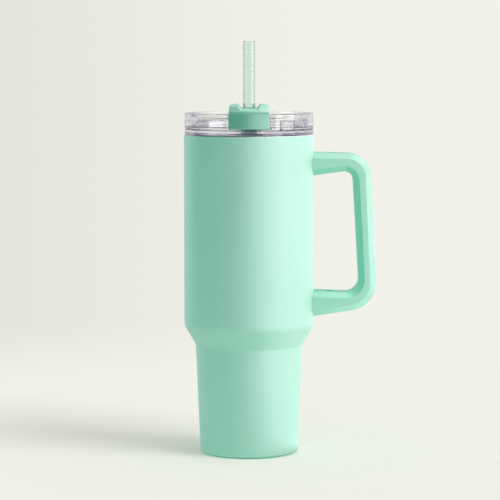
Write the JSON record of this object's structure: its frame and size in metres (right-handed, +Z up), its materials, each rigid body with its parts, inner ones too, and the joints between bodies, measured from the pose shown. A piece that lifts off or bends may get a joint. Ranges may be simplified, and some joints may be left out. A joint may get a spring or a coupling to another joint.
{
  "type": "insulated travel mug",
  "caption": "Double-walled steel travel mug with a narrow foot, a side handle, a clear push-fit lid with a turning cover, and a straw.",
  "frame": {"origin": "centre of the base pad's underside, on the mug's axis", "axes": "+Z up along the mug's axis, +X towards the handle, -Y towards the thumb bar"},
  "size_m": [0.1452, 0.0984, 0.3122],
  "materials": {
    "powder_coat": "matte mint powder coat with a fine grain",
    "bare_steel": "bare stainless steel, satin",
    "handle_plastic": "satin mint moulding",
    "bar_plastic": "matte mint moulding",
    "clear_plastic": "clear polished moulding",
    "straw_plastic": "clear extrusion with a faint mint tint",
    "seal_silicone": "milky silicone",
    "pad_silicone": "dull green-grey silicone",
    "insert_brass": "turned brass"
  },
  "bodies": {
    "mug": {"outer_shell": "powder_coat", "liner_wall": "bare_steel", "liner_cup": "bare_steel", "outer_base": "bare_steel", "vacuum_plug": "bare_steel", "getter_pellet": "bare_steel", "base_pad": "pad_silicone", "handle_outer_shell": "handle_plastic", "handle_inner_cover": "handle_plastic", "upper_bracket": "bare_steel", "lower_bracket": "bare_steel", "upper_screw": "bare_steel", "lower_screw": "bare_steel", "upper_insert": "insert_brass", "lower_insert": "insert_brass", "upper_screw_plug": "handle_plastic", "lower_screw_plug": "handle_plastic"},
    "lid": {"lid_base": "clear_plastic", "lid_gasket": "seal_silicone"},
    "cover": {"rotating_cover": "clear_plastic", "thumb_bar": "bar_plastic", "straw_saddle": "bar_plastic", "straw_bush": "seal_silicone", "port_seal": "seal_silicone", "hub_washer": "seal_silicone", "hub_nut": "bar_plastic"},
    "straw": {"straw": "straw_plastic"}
  },
  "joints": [
    {"name": "lid_lift", "type": "slide", "parent": "mug", "child": "lid", "axis": [0, 0, 1], "range_m": [0, 0.24]},
    {"name": "cover_turn", "type": "hinge", "parent": "lid", "child": "cover", "pos_m": [0, 0, 0.2466], "axis": [0, 0, 1], "range_deg": [-90, 0]},
    {"name": "straw_lift", "type": "slide", "parent": "cover", "child": "straw", "axis": [0, 0, 1], "range_m": [0, 0.256]}
  ]
}
